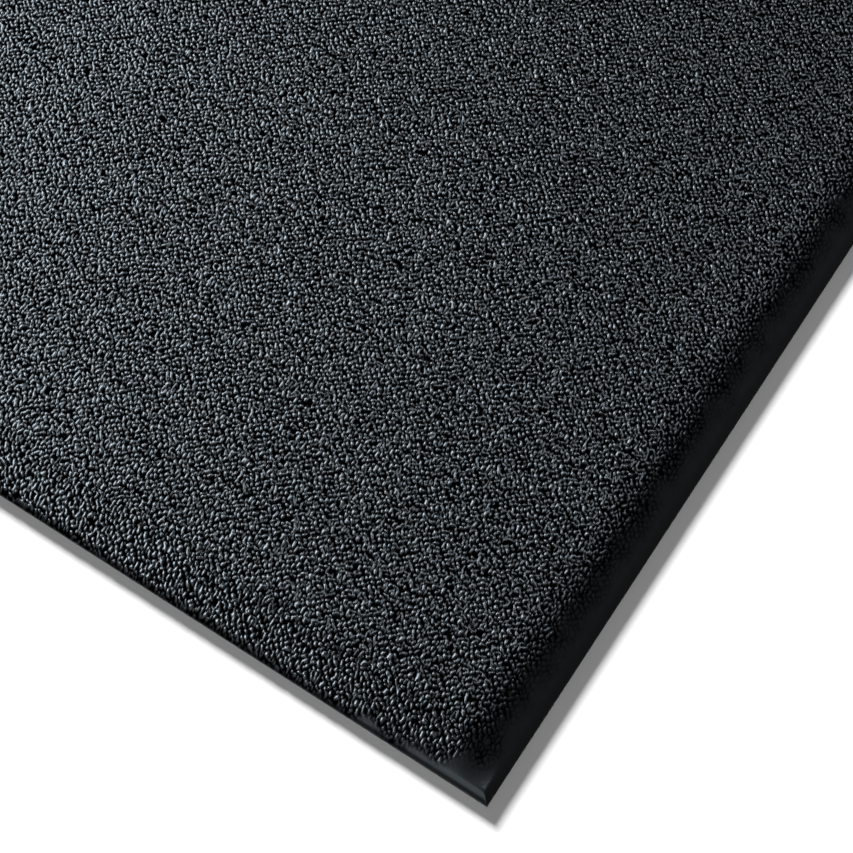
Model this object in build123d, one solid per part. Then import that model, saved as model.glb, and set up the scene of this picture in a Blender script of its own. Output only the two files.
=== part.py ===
from build123d import *
from math import cos, radians, sin, tan
import os

# Anti-fatigue floor mat: a foam core between an embossed vinyl wear skin and a grip backing.
#
# Frame, in millimetres: the origin is on the floor, under the middle of the mat.
# +X runs along the mat's long side, +Y across it, and +Z is up.
#
# All four edges are heat pressed. The foam is squeezed down to a thin lip there, so the three
# layers run right out to the edge, where they are trimmed square and lie one on another.

# Driving dimensions
LENGTH = 914.4  # 36 in, along X
WIDTH = 609.6  # 24 in, along Y
HEIGHT = 9.5  # 3/8 in, floor to the top of the skin

SKIN_THICKNESS = 0.8  # vinyl wear layer, measured straight down
BACKING_THICKNESS = 0.6  # dense grip layer on the underside
LIP_HEIGHT = 2.0  # all three layers together, at the trimmed edge

# The pressed edge, from the lip inwards: a round nose, a straight ramp and a long round shoulder
NOSE_ANGLE = 60.0  # slope of the skin where it leaves the lip, in degrees
RAMP_ANGLE = 22.0  # slope of the ramp, in degrees
NOSE_RADIUS = 6.0
SHOULDER_RADIUS = 30.0

# Worked out from the above
NOSE_RUN = NOSE_RADIUS * (sin(radians(NOSE_ANGLE)) - sin(radians(RAMP_ANGLE)))
NOSE_RISE = NOSE_RADIUS * (cos(radians(RAMP_ANGLE)) - cos(radians(NOSE_ANGLE)))
SHOULDER_RUN = SHOULDER_RADIUS * sin(radians(RAMP_ANGLE))
SHOULDER_RISE = SHOULDER_RADIUS * (1 - cos(radians(RAMP_ANGLE)))
RAMP_RISE = HEIGHT - LIP_HEIGHT - NOSE_RISE - SHOULDER_RISE
RAMP_RUN = RAMP_RISE / tan(radians(RAMP_ANGLE))
EDGE_RUN = NOSE_RUN + RAMP_RUN + SHOULDER_RUN  # from the trimmed edge to the flat top

CUT_MARGIN = 5.0  # how far a cutting solid stands clear of what it cuts


def section(plane, span):
    """The mat's cross-section on a plane whose x runs across the mat and whose y is up."""
    half = span / 2
    lip = (-half, LIP_HEIGHT)
    shoulder_end = (-half + EDGE_RUN, HEIGHT)
    ramp_start = (-half + NOSE_RUN, LIP_HEIGHT + NOSE_RISE)
    ramp_end = (ramp_start[0] + RAMP_RUN, ramp_start[1] + RAMP_RISE)
    slope_up = (cos(radians(RAMP_ANGLE)), sin(radians(RAMP_ANGLE)))
    with BuildSketch(plane) as sketch:
        with BuildLine():
            Line((0, 0), (-half, 0))
            Line((-half, 0), lip)
            nose_tangent = (cos(radians(NOSE_ANGLE)), sin(radians(NOSE_ANGLE)))
            TangentArc(lip, ramp_start, tangent=nose_tangent)
            Line(ramp_start, ramp_end)
            TangentArc(ramp_end, shoulder_end, tangent=slope_up)
            Line(shoulder_end, (0, HEIGHT))
            mirror(about=Plane.YZ)
        make_face()
    return sketch.sketch


def outer_form():
    """The whole mat's outside: its two cross-sections, each run the length of the other, meet in
    mitres at the four square corners."""
    along = extrude(section(Plane.YZ, WIDTH), amount=LENGTH / 2, both=True)
    across = extrude(section(Plane.XZ, LENGTH), amount=WIDTH / 2, both=True)
    return along & across


def make_wear_skin(form):
    """The embossed vinyl layer: what is left of the form above a copy of it one skin lower."""
    return form - Pos(0, 0, -SKIN_THICKNESS) * form


def make_foam_core(form):
    """The foam between the skin and the backing, full height inside and pressed thin at the lip."""
    below_skin = Pos(0, 0, -SKIN_THICKNESS) * form
    keep_size = (LENGTH + 2 * CUT_MARGIN, WIDTH + 2 * CUT_MARGIN, HEIGHT)
    above_backing = Pos(0, 0, BACKING_THICKNESS + HEIGHT / 2) * Box(*keep_size)
    return below_skin & above_backing


def make_grip_backing():
    """The flat grip layer that lies on the floor, trimmed flush with the other two."""
    return Pos(0, 0, BACKING_THICKNESS / 2) * Box(LENGTH, WIDTH, BACKING_THICKNESS)


def main():
    """Writes one STEP file for each layer."""
    form = outer_form()
    layers = {
        "wear_skin": make_wear_skin(form),
        "foam_core": make_foam_core(form),
        "grip_backing": make_grip_backing(),
    }
    os.makedirs("parts", exist_ok=True)
    for name, layer in layers.items():
        layer.label = name
        export_step(layer, f"parts/{name}.step")
        print(f"{name}: {len(layer.solids())} solid, {layer.volume / 1000:.1f} cm3")
    print(f"pressed edge: {EDGE_RUN:.2f} mm wide, ramp {RAMP_RUN:.2f} mm")


main()
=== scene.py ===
"""Looks of the anti-fatigue mat: an embossed vinyl wear skin over a foam core and a grip backing.

Everything is in metres, in the frame of the CAD model, unless a comment says otherwise. Each layer
is rebuilt as a detailed closed mesh inside its own CAD box, and gets a procedural material.
"""
import math

import bpy
import numpy as np
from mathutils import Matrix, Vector


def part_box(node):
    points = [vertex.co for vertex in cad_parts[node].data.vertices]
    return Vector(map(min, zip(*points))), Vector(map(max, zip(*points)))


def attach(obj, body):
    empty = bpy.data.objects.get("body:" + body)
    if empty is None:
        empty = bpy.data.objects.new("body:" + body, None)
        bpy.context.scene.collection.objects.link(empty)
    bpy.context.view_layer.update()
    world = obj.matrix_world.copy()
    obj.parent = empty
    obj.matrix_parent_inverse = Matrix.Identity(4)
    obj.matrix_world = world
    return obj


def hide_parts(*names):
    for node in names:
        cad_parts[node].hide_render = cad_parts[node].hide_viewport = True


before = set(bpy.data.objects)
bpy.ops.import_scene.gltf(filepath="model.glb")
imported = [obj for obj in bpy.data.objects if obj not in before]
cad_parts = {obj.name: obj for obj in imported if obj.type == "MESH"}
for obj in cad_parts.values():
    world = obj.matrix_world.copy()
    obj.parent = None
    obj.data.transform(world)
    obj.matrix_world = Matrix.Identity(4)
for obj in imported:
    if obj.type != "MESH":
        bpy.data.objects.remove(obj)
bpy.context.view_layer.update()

MM = 0.001
SEED = 7

# The layers' sizes, from the frame
SKIN, CORE, BACKING = "wear_skin", "foam_core", "grip_backing"
HALF_LENGTH, HALF_WIDTH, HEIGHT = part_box(SKIN)[1]
CORE_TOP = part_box(CORE)[1].z
BACKING_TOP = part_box(BACKING)[1].z
SKIN_THICKNESS = HEIGHT - CORE_TOP
LIP_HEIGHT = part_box(SKIN)[0].z + SKIN_THICKNESS  # the trimmed edge, all layers together
RISE = HEIGHT - LIP_HEIGHT

# The pressed edge, with the CAD model's angles and radii: nose, ramp and shoulder
NOSE_ANGLE = math.radians(60)
RAMP_ANGLE = math.radians(22)
NOSE_RADIUS = 6 * MM
SHOULDER_RADIUS = 30 * MM
NOSE_RUN = NOSE_RADIUS * (math.sin(NOSE_ANGLE) - math.sin(RAMP_ANGLE))
NOSE_RISE = NOSE_RADIUS * (math.cos(RAMP_ANGLE) - math.cos(NOSE_ANGLE))
SHOULDER_RUN = SHOULDER_RADIUS * math.sin(RAMP_ANGLE)
SHOULDER_RISE = SHOULDER_RADIUS * (1 - math.cos(RAMP_ANGLE))
RAMP_RUN = (RISE - NOSE_RISE - SHOULDER_RISE) / math.tan(RAMP_ANGLE)
EDGE_RUN = NOSE_RUN + RAMP_RUN + SHOULDER_RUN

# The pebble embossing of the skin
SKIN_STEP = 0.45 * MM  # from point to point of the skin's mesh
PEBBLE_PITCH = 1.75 * MM  # from pebble to pebble
PEBBLE_DEPTH = 0.49 * MM  # from crease to top
PEBBLE_STRETCH = 1.22  # how much longer they are along the mat, and shorter across it
END_STRETCH = 0.2  # how much longer still they are near an end, where the press has drawn them out
END_STRETCH_REACH = 60 * MM  # how far in that goes
PEBBLE_NUDGE = 0.2  # how far each is off its place in an even pattern, as a share of the pitch
PEBBLE_HALF_LENGTH = 0.45  # the longest pebble's core, from its middle to its end, in the same way
PEBBLE_BEND = 0.15  # how far the whole pattern is bent locally, in the same way
PEBBLE_BEND_LENGTH = 1.7 * PEBBLE_PITCH  # and over what distance
PEBBLE_DOME = 1.5  # the power of a pebble's profile: 1 is a cone, and more is a rounder dome

# The smooth hem, pressed along the edges
SIDE_HEM = (1.5 * MM, 22 * MM)  # from a long side: smooth as far as the first, embossed from the second
END_HEM = (-6 * MM, 2 * MM)  # the same from an end, where faint pebbles run right out to the edge
CORNER_HEM = 12 * MM  # how much wider the hem of an end gets at a corner
CORNER_REACH = 40 * MM  # and how far from the corner that fades out
HEM_GLOSS = 0.7  # how shiny the hem is, where 1 is a pebble and 0 a crease
HALF_PRESSED_LOSS = 0.12  # how much gloss the pebbles lose where they are half pressed out
HEM_RAGGEDNESS = 1 * MM  # how far the line where pebbles die out wanders
HEM_WANDER = 9 * MM  # and over what distance

# The slight unevenness of a soft mat on a floor: two crossed waves
WAVE_HEIGHT = 0.12 * MM
WAVE_LENGTH = 170 * MM
WAVE_HEADINGS = ((1, 0.4), (-0.3, 0.8))  # how much of X and of Y each runs along

# The foam core and the grip pattern of the underside
CORE_STEP = 3 * MM
GRIP_STEP = 2 * MM
GRIP_PITCH = 8 * MM
GRIP_DEPTH = 0.2 * MM

# How far in from the edge the rings of points on a layer's plain face are: close over the nose
RING_INSETS = np.array([0, 0.5, 1, 1.7, 2.5, 3.5, 5, 7, 9, 11, 13, 15, 17, 19, 21, 24]) * MM


# ---------------------------------------------------------------- shapes


def nose_height(inset):
    """How far the round nose has risen above the lip, at a distance in from the nearest edge."""
    run = np.clip(inset, 0, NOSE_RUN)
    across = NOSE_RADIUS * math.sin(NOSE_ANGLE) - run
    return np.sqrt(NOSE_RADIUS**2 - across**2) - NOSE_RADIUS * math.cos(NOSE_ANGLE)


def ramp_share(inset):
    """Share of the rise above the nose that the ramp and its round shoulder have reached."""
    on_ramp = np.clip(inset - NOSE_RUN, 0, RAMP_RUN)
    to_top = np.clip(EDGE_RUN - inset, 0, SHOULDER_RUN)
    below_top = SHOULDER_RADIUS - np.sqrt(SHOULDER_RADIUS**2 - to_top**2)
    rise = on_ramp * math.tan(RAMP_ANGLE) + SHOULDER_RISE - below_top
    return rise / (RISE - NOSE_RISE)


def insets(x, y):
    """Distances in from the nearest end and from the nearest long side."""
    return HALF_LENGTH - np.abs(x), HALF_WIDTH - np.abs(y)


def skin_height(x, y):
    """The skin's outer face without its pebbles. The nose turns a corner in a mitre. Higher up both
    edges press the corner down, so the ramps run into each other softly."""
    from_end, from_side = insets(x, y)
    nose = nose_height(np.minimum(from_end, from_side))
    pressed = ramp_share(from_end) * ramp_share(from_side)
    turns = 2 * math.pi / WAVE_LENGTH
    first, second = [turns * (along_x * x + along_y * y) for along_x, along_y in WAVE_HEADINGS]
    wave = np.sin(first) * np.cos(second) - 1
    return LIP_HEIGHT + nose + pressed * (RISE - NOSE_RISE + WAVE_HEIGHT * wave)


def filtered_noise(shape, step, weight, seed):
    """Random heights on a grid, with a spread of 1 about 0. weight(frequency) says how much of each
    spatial frequency, in cycles per metre, is in them."""
    noise = np.random.default_rng(seed).standard_normal(shape)
    across = np.fft.fftfreq(shape[0], step)[:, None]
    along = np.fft.rfftfreq(shape[1], step)[None, :]
    kept = np.fft.irfft2(np.fft.rfft2(noise) * weight(np.hypot(across, along)), s=shape)
    return kept / kept.std()


def smooth_over(distance):
    """A weight for filtered_noise that leaves out what is finer than a distance."""
    return lambda frequency: np.exp(-((frequency * distance) ** 2))


def drawn_out(x):
    """Distances along the mat from its -X end, as they were before the press drew the ends out."""
    stretch = 1 + END_STRETCH * np.exp(-(HALF_LENGTH - np.abs(x[0])) / END_STRETCH_REACH)
    steps = np.diff(x[0], prepend=x[0, 0])
    return np.broadcast_to(np.cumsum(steps / stretch), x.shape)


def pebbles(x, y):
    """The embossing, from 0 in a crease to 1 on a pebble. Each pebble has a core, a short line at
    any angle, near a point of a honeycomb, and is domed out from it to the creases, which run where
    two cores are equally near."""
    step = x[0, 1] - x[0, 0]
    gentle = smooth_over(PEBBLE_BEND_LENGTH)
    bend_along, bend_across = [filtered_noise(x.shape, step, gentle, SEED + k) for k in (1, 2)]
    along = drawn_out(x) / (PEBBLE_PITCH * PEBBLE_STRETCH) + PEBBLE_BEND * bend_along
    across = (y - y[0, 0]) / (PEBBLE_PITCH / PEBBLE_STRETCH) + PEBBLE_BEND * bend_across
    row_gap = math.sin(math.radians(60))
    margin = 4  # rows and columns to spare on every side, for neighbours and bends
    size = (int(across.max() / row_gap) + 2 * margin, int(along.max()) + 2 * margin)
    rng = np.random.default_rng(SEED)
    nudges = rng.uniform(-PEBBLE_NUDGE, PEBBLE_NUDGE, (2, *size))
    half_length = rng.uniform(0, PEBBLE_HALF_LENGTH, size)
    angle = rng.uniform(0, math.pi, size)
    row = np.floor(across / row_gap).astype(int)
    nearest = np.full(x.shape, np.inf)
    second = np.full(x.shape, np.inf)
    neighbours = range(-2, 3)
    for row_step in neighbours:
        shift = 0.5 * ((row + row_step) % 2)  # every other row lies half a pebble along
        column = np.floor(along - shift).astype(int)
        for column_step in neighbours:
            place = (row + row_step + margin, column + column_step + margin)
            from_along = along - (column + column_step + 0.5 + shift + nudges[0][place])
            from_across = across - ((row + row_step + 0.5) * row_gap + nudges[1][place])
            core, reach = angle[place], half_length[place]
            on_core = np.clip(from_along * np.cos(core) + from_across * np.sin(core), -reach, reach)
            off_along = from_along - on_core * np.cos(core)
            off_across = from_across - on_core * np.sin(core)
            distance = np.hypot(off_along, off_across)
            second = np.minimum(second, np.maximum(nearest, distance))
            nearest = np.minimum(nearest, distance)
    to_crease = 2 * nearest / (nearest + second)
    return 1 - to_crease**PEBBLE_DOME


def embossed_share(x, y):
    """1 where the skin is fully embossed, falling to 0 in the smooth hem along the edges."""
    wander = filtered_noise(x.shape, x[0, 1] - x[0, 0], smooth_over(HEM_WANDER), SEED + 3)
    from_end, from_side = insets(x, y)
    from_end = from_end - CORNER_HEM * np.exp(-from_side / CORNER_REACH)
    share = 1.0
    for inset, (smooth, full) in ((from_end, END_HEM), (from_side, SIDE_HEM)):
        ramp = np.clip((inset + HEM_RAGGEDNESS * wander - smooth) / (full - smooth), 0, 1)
        share = share * ramp * ramp * (3 - 2 * ramp)
    return share


def skin_gloss_and_crease_shade(relief, share):
    """How shiny the skin is, from 0 in a crease to 1 on a pebble: less so in the hem, and least where
    the pebbles are half pressed out. Near 0 it also paints shade into the creases: a nearly black
    colour and no reflection."""
    half_pressed = 4 * share * (1 - share)  # 1 where the share is a half
    return HEM_GLOSS + (relief - HEM_GLOSS) * share - HALF_PRESSED_LOSS * half_pressed


# ---------------------------------------------------------------- meshes


def grid_lines(half, step):
    """Evenly spaced positions from -half to half, about a step apart."""
    return np.linspace(-half, half, round(2 * half / step) + 1)


def grid_quads(rows, columns):
    """The faces of a grid of points stored row by row, facing up."""
    first = np.arange(rows - 1)[:, None] * columns + np.arange(columns - 1)[None, :]
    first = first.ravel()
    return np.stack([first, first + 1, first + columns + 1, first + columns], axis=1)


def grid_rim(rows, columns):
    """The indices round the grid's outside, anticlockwise from its first point."""
    index = np.arange(rows * columns).reshape(rows, columns)
    return np.concatenate([index[0, :-1], index[:-1, -1], index[-1, :0:-1], index[:0:-1, 0]])


def rim_rings(rim, ring_insets):
    """Copies of a rectangular rim, each moved in by an inset."""
    rings = []
    for inset in ring_insets:
        shrink = np.array([1 - inset / HALF_LENGTH, 1 - inset / HALF_WIDTH])
        rings.append(rim * shrink)
    return rings


def loop_strip(lower, upper):
    """Quads between two loops of as many points, facing out where the upper one is above."""
    return np.stack([lower, np.roll(lower, -1), np.roll(upper, -1), upper], axis=1)


def new_mesh(name, points, quads, caps):
    """A mesh from its points, its quads and its many-sided end caps."""
    corners = np.concatenate([quads.ravel(), *caps])
    sizes = np.concatenate([np.full(len(quads), 4), [len(cap) for cap in caps]])
    starts = np.concatenate([[0], np.cumsum(sizes)[:-1]])
    mesh = bpy.data.meshes.new(name)
    mesh.vertices.add(len(points))
    mesh.vertices.foreach_set("co", points.astype(np.float32).ravel())
    mesh.loops.add(len(corners))
    mesh.loops.foreach_set("vertex_index", corners.astype(np.int32))
    mesh.polygons.add(len(sizes))
    mesh.polygons.foreach_set("loop_start", starts.astype(np.int32))
    mesh.polygons.foreach_set("use_smooth", np.ones(len(sizes), bool))
    mesh.update(calc_edges=True)
    return mesh


def sharpen(mesh, loops):
    """Keeps a crisp edge along closed loops of points."""
    ends = np.empty(len(mesh.edges) * 2, np.int32)
    mesh.edges.foreach_get("vertices", ends)
    loop_of = np.zeros(len(mesh.vertices), np.int32)
    for number, loop in enumerate(loops, start=1):
        loop_of[loop] = number
    a, b = loop_of[ends.reshape(-1, 2)].T
    sharp = mesh.attributes.new("sharp_edge", "BOOLEAN", "EDGE")
    sharp.data.foreach_set("value", (a > 0) & (a == b))


def layer_mesh(name, step, detailed, plain, detail_up):
    """A closed layer between a detailed face on a grid, and a plain face made of rings.

    detailed and plain give the height of each face at x, y. detail_up says which of them is on top.
    """
    x, y = np.meshgrid(grid_lines(HALF_LENGTH, step), grid_lines(HALF_WIDTH, step))
    fine = np.stack([x, y, detailed(x, y)], axis=-1).reshape(-1, 3)
    rim = grid_rim(*x.shape)
    rings = rim_rings(fine[rim, :2], RING_INSETS)
    coarse = np.concatenate([np.column_stack([ring, plain(*ring.T)]) for ring in rings])
    loops = [len(fine) + np.arange(len(rim)) + len(rim) * k for k in range(len(rings))]
    quads = [grid_quads(*x.shape), loop_strip(loops[0], rim)]
    quads += [loop_strip(inner, outer) for outer, inner in zip(loops, loops[1:])]
    quads, cap = np.concatenate(quads), loops[-1][::-1]
    if not detail_up:
        quads, cap = quads[:, ::-1], cap[::-1]
    mesh = new_mesh(name, np.concatenate([fine, coarse]), quads, [cap])
    sharpen(mesh, [rim, loops[0]])
    return mesh


def add_piece(mesh, node, material):
    """Puts a finished mesh in the scene, in the place of a CAD node."""
    piece = bpy.data.objects.new(mesh.name, mesh)
    bpy.context.scene.collection.objects.link(piece)
    mesh.materials.append(material)
    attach(piece, "root")
    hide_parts(node)
    return piece


# ---------------------------------------------------------------- materials


def add_node(tree, kind, inputs=(), **settings):
    """A new node. inputs gives its sockets by name or number: a value sets one, a socket links it."""
    made = tree.nodes.new(kind)
    for key, value in settings.items():
        setattr(made, key, value)
    for key, value in dict(inputs).items():
        if isinstance(value, bpy.types.NodeSocket):
            tree.links.new(value, made.inputs[key])
        else:
            made.inputs[key].default_value = value
    return made


def new_material(name):
    """An empty material: its node tree and its Principled shader."""
    material = bpy.data.materials.new(name)
    material.use_nodes = True
    tree = material.node_tree
    return material, tree, tree.nodes["Principled BSDF"]


def noise(tree, size, detail=3.0, roughness=0.5):
    """Noise from 0 to 1 over the piece, with features about size metres across."""
    place = add_node(tree, "ShaderNodeTexCoord").outputs["Object"]
    inputs = {"Vector": place, "Scale": 1 / size, "Detail": detail, "Roughness": roughness}
    return add_node(tree, "ShaderNodeTexNoise", inputs).outputs["Fac"]


def remap(tree, value, low, high, to_low=0, to_high=1, **settings):
    """value, with low to high turned into to_low to to_high."""
    inputs = {"Value": value, "From Min": low, "From Max": high, "To Min": to_low, "To Max": to_high}
    return add_node(tree, "ShaderNodeMapRange", inputs, **settings).outputs["Result"]


def blend(tree, share, first, second):
    """A colour between two others."""
    mix = add_node(tree, "ShaderNodeMix", data_type="RGBA")
    for socket, value in ((0, share), (6, first), (7, second)):
        if isinstance(value, bpy.types.NodeSocket):
            tree.links.new(value, mix.inputs[socket])
        else:
            mix.inputs[socket].default_value = value
    return mix.outputs[2]


def bump(tree, shader, height, depth):
    """Bumps a shader by a height from 0 to 1 that stands for depth metres."""
    made = add_node(tree, "ShaderNodeBump", {"Height": height, "Distance": depth, "Strength": 1.0})
    tree.links.new(made.outputs["Normal"], shader.inputs["Normal"])


def embossed_vinyl():
    """Semi-gloss black vinyl: shinier and a little worn on the pebbles. The creases carry painted
    shade: a nearly black colour, with no reflection and no sheen.
    """
    material, tree, shader = new_material("embossed_vinyl")
    painted_crease_shade = (0.0002, 0.0002, 0.0002, 1)  # painted shade in the creases, nearly black: elsewhere the light that is seen is gloss
    darker, lighter = (0.0008, 0.0008, 0.0010, 1), (0.0011, 0.0012, 0.0015, 1)
    polished, worn = 0.24, 0.29  # roughness
    full_gloss, full_sheen = 0.8, 0.05  # on the pebbles, with none in the creases, as painted shade there
    gloss_and_crease_shade = add_node(tree, "ShaderNodeAttribute", attribute_name="gloss_and_crease_shade").outputs["Fac"]
    # 0 in the creases, where the colour, reflection and sheen below paint shade
    outside_crease_shade = remap(tree, gloss_and_crease_shade, 0.3, 0.8, interpolation_type="SMOOTHSTEP")
    mottle = remap(tree, noise(tree, 90 * MM, 4), 0.35, 0.65)
    scuff = remap(tree, noise(tree, 5 * MM, 5, 0.6), 0.3, 0.7)
    tint = blend(tree, mottle, darker, lighter)
    tree.links.new(blend(tree, outside_crease_shade, painted_crease_shade, tint), shader.inputs["Base Color"])
    tree.links.new(remap(tree, scuff, 0, 1, polished, worn), shader.inputs["Roughness"])
    tree.links.new(remap(tree, outside_crease_shade, 0, 1, 0, full_gloss), shader.inputs["Specular IOR Level"])
    tree.links.new(remap(tree, outside_crease_shade, 0, 1, 0, full_sheen), shader.inputs["Sheen Weight"])
    bump(tree, shader, noise(tree, 0.35 * MM, 2), depth=0.02 * MM)
    return material


def closed_cell_foam():
    """Dull black foam with fine closed cells."""
    material, tree, shader = new_material("closed_cell_foam")
    darker, lighter = (0.020, 0.020, 0.021, 1), (0.040, 0.040, 0.042, 1)
    cell_size, cell_depth = 0.3 * MM, 0.08 * MM
    tone = remap(tree, noise(tree, 3 * MM), 0.3, 0.7)
    tree.links.new(blend(tree, tone, darker, lighter), shader.inputs["Base Color"])
    tree.links.new(remap(tree, tone, 0, 1, 0.85, 0.95), shader.inputs["Roughness"])
    place = add_node(tree, "ShaderNodeTexCoord").outputs["Object"]
    cells = add_node(tree, "ShaderNodeTexVoronoi", {"Vector": place, "Scale": 1 / cell_size})
    bump(tree, shader, cells.outputs["Distance"], cell_depth)
    return material


def grip_vinyl():
    """Dull dark vinyl with a fine even grain."""
    material, tree, shader = new_material("grip_vinyl")
    darker, lighter = (0.012, 0.012, 0.013, 1), (0.022, 0.022, 0.023, 1)
    tone = remap(tree, noise(tree, 25 * MM, 5), 0.3, 0.7)
    tree.links.new(blend(tree, tone, darker, lighter), shader.inputs["Base Color"])
    tree.links.new(remap(tree, noise(tree, 2 * MM), 0.3, 0.7, 0.68, 0.82), shader.inputs["Roughness"])
    bump(tree, shader, noise(tree, 0.5 * MM, 3), depth=0.05 * MM)
    return material


def pale_floor():
    """Plain matt white."""
    material, tree, shader = new_material("pale_floor")
    shader.inputs["Base Color"].default_value = (0.86, 0.86, 0.86, 1)
    shader.inputs["Roughness"].default_value = 0.9
    shader.inputs["Specular IOR Level"].default_value = 0.0
    return material


# ---------------------------------------------------------------- pieces


def make_wear_skin():
    """The embossed skin. Its pebbles are in the mesh, and its points carry the gloss, with the painted
    shade of the creases.
    """
    kept = {}

    def embossed_face(x, y):
        relief = pebbles(x, y)
        share = embossed_share(x, y)
        # the gloss also carries the painted shade of the creases
        kept["gloss_and_crease_shade"] = skin_gloss_and_crease_shade(relief, share).ravel()
        return skin_height(x, y) - PEBBLE_DEPTH * (1 - relief) * share

    def inner_face(x, y):
        return skin_height(x, y) - SKIN_THICKNESS

    mesh = layer_mesh(SKIN + "_vinyl", SKIN_STEP, embossed_face, inner_face, detail_up=True)
    gloss_and_crease_shade = np.ones(len(mesh.vertices), np.float32)
    gloss_and_crease_shade[: kept["gloss_and_crease_shade"].size] = kept["gloss_and_crease_shade"]  # the embossed face's points come first
    mesh.attributes.new("gloss_and_crease_shade", "FLOAT", "POINT").data.foreach_set("value", gloss_and_crease_shade)
    piece = add_piece(mesh, SKIN, embossed_vinyl())
    return piece


def make_foam_core():
    """The foam under the skin, as thick as the skin and the backing leave room for."""

    def upper_face(x, y):
        return skin_height(x, y) - SKIN_THICKNESS

    def lower_face(x, y):
        return np.full_like(x, BACKING_TOP)

    mesh = layer_mesh(CORE + "_foam", CORE_STEP, upper_face, lower_face, detail_up=True)
    piece = add_piece(mesh, CORE, closed_cell_foam())
    return piece


def make_grip_backing():
    """The backing, flat on top, with a shallow dimple pattern on the underside."""

    def upper_face(x, y):
        return np.full_like(x, BACKING_TOP)

    def dimpled_face(x, y):
        turns = 2 * math.pi / GRIP_PITCH
        return GRIP_DEPTH * (0.5 + 0.5 * np.cos(turns * x) * np.cos(turns * y))

    mesh = layer_mesh(BACKING + "_vinyl", GRIP_STEP, dimpled_face, upper_face, detail_up=False)
    piece = add_piece(mesh, BACKING, grip_vinyl())
    return piece


# ---------------------------------------------------------------- studio


FLOOR_HALF = 40.0  # from its middle to its edges

# The camera. For it and the lamps, azimuth 0 is on the -Y side, and it turns towards +X.
CAMERA_AZIMUTH = math.radians(-56.88)
CAMERA_ELEVATION = math.radians(68)
CAMERA_DISTANCE = 0.803  # to the aim, on the floor
CAMERA_AIM = (0.0989, 0.0875)  # in from the near end and from the near side
CAMERA_LENS = 100.0  # focal length, in millimetres

# The lamps, with angles in degrees, and strengths in watts per m2 on a surface that faces them
LAMP_DISTANCE = 5.0
SOFTBOX_COLOUR = (0.78, 0.90, 1.0)
SOFTBOXES = {
    "key": {"azimuth": 162, "elevation": 45, "size": 2.3, "strength": 3.9},
    "edge_key": {"azimuth": 213, "elevation": 42, "size": 2.3, "strength": 3.9},
    "far_key": {"azimuth": 93, "elevation": 66, "size": 1.6, "strength": 0.65},
    "end_fill": {"azimuth": -90, "elevation": 33, "size": 3.5, "strength": 0.45},
}
FLOOR_KEY = {"azimuth": 142.8, "elevation": 19.8, "strength": 12.0, "angle": 11}
FLOOR_FILL = {"azimuth": 0, "elevation": 90, "strength": 0.57, "angle": 5}
WORLD_FILL = 0.06  # brightness of the surroundings, as light
BACKDROP = 1.0  # and as the camera sees them


def make_floor():
    """A plain pale floor under the mat."""
    corners = np.array([(-1, -1, 0), (1, -1, 0), (1, 1, 0), (-1, 1, 0)]) * FLOOR_HALF
    mesh = new_mesh("floor", corners, np.array([[0, 1, 2, 3]]), [])
    mesh.materials.append(pale_floor())
    floor = bpy.data.objects.new("floor", mesh)
    bpy.context.scene.collection.objects.link(floor)
    floor.visible_glossy = False  # the black mat's edge stays dark against the white floor
    floor.visible_diffuse = False
    return floor


def away(azimuth, elevation):
    """The direction from the object towards a place at this azimuth and elevation."""
    flat = math.cos(elevation)
    return Vector((math.sin(azimuth) * flat, -math.cos(azimuth) * flat, math.sin(elevation)))


def camera_aim():
    """The point on the floor in the middle of the picture."""
    return Vector((CAMERA_AIM[0] - HALF_LENGTH, CAMERA_AIM[1] - HALF_WIDTH, 0))


def make_camera():
    """Looks down on the near corner of the mat, at the end of -X and the side of -Y."""
    data = bpy.data.cameras.new("camera")
    data.lens = CAMERA_LENS
    camera = bpy.data.objects.new("camera", data)
    bpy.context.scene.collection.objects.link(camera)
    back = away(CAMERA_AZIMUTH, CAMERA_ELEVATION)
    camera.location = camera_aim() + back * CAMERA_DISTANCE
    camera.rotation_mode = "QUATERNION"
    camera.rotation_quaternion = (-back).to_track_quat("-Z", "Y")
    bpy.context.scene.camera = camera


def light_only(lamp, lit, shaded_by=None):
    """Lets a lamp fall on some objects only, and be shaded by some objects only."""
    receivers = bpy.data.collections.new(lamp.name + "_receivers")
    for thing in lit:
        receivers.objects.link(thing)
    lamp.light_linking.receiver_collection = receivers
    if shaded_by is not None:
        blockers = bpy.data.collections.new(lamp.name + "_blockers")
        for thing in shaded_by:
            blockers.objects.link(thing)
        lamp.light_linking.blocker_collection = blockers


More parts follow.
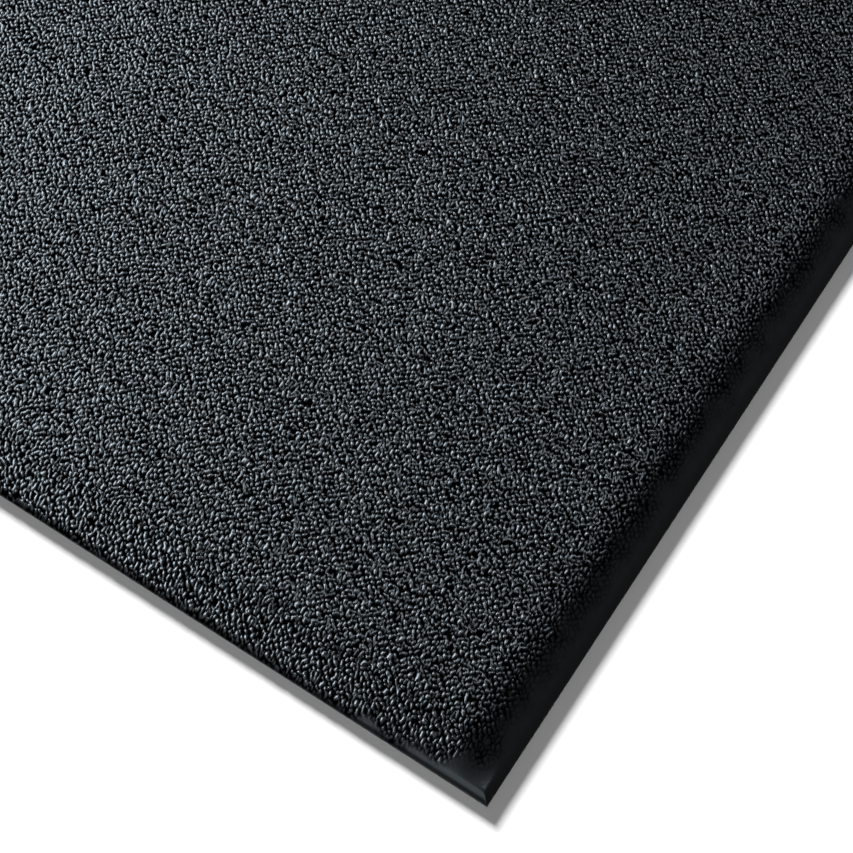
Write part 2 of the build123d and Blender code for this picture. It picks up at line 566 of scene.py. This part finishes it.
def add_lamp(data, azimuth, elevation):
    """A lamp that shines on the camera's aim from an azimuth and elevation, in degrees."""
    lamp = bpy.data.objects.new(data.name, data)
    bpy.context.scene.collection.objects.link(lamp)
    back = away(math.radians(azimuth), math.radians(elevation))
    lamp.location = camera_aim() + back * LAMP_DISTANCE
    lamp.rotation_mode = "QUATERNION"
    lamp.rotation_quaternion = (-back).to_track_quat("-Z", "Y")
    return lamp


def softbox(name, azimuth, elevation, size, strength):
    """A square softbox, size metres across, facing the camera's aim."""
    data = bpy.data.lights.new(name, "AREA")
    data.size = size
    data.color = SOFTBOX_COLOUR
    data.energy = strength * math.pi * LAMP_DISTANCE**2
    return add_lamp(data, azimuth, elevation)


def sun(name, azimuth, elevation, strength, angle):
    """A distant light, angle degrees across."""
    data = bpy.data.lights.new(name, "SUN")
    data.energy = strength
    data.angle = math.radians(angle)
    return add_lamp(data, azimuth, elevation)


def make_world():
    """Even soft light from all round, and a plain backdrop behind the floor."""
    world = bpy.data.worlds.new("studio")
    world.use_nodes = True
    tree = world.node_tree
    background = tree.nodes["Background"]
    seen = add_node(tree, "ShaderNodeLightPath").outputs["Is Camera Ray"]
    tree.links.new(remap(tree, seen, 0, 1, WORLD_FILL, BACKDROP), background.inputs["Strength"])
    background.inputs["Color"].default_value = (1, 1, 1, 1)
    bpy.context.scene.world = world


def light_mat(mat):
    """The softboxes, which fall on the mat alone."""
    for name, settings in SOFTBOXES.items():
        light_only(softbox(name, **settings), lit=mat)


def light_floor(floor):
    """Two suns on the floor alone. The first casts the mat's shadow, and the second, which nothing
    shades, keeps it from going black."""
    light_only(sun("floor_key", **FLOOR_KEY), lit=[floor])
    light_only(sun("floor_fill", **FLOOR_FILL), lit=[floor], shaded_by=[])


def main():
    """Builds the pieces and the studio."""
    mat = [make_wear_skin(), make_foam_core(), make_grip_backing()]
    floor = make_floor()
    make_camera()
    make_world()
    light_mat(mat)
    light_floor(floor)
    bpy.context.scene.view_settings.view_transform = "Standard"


main()
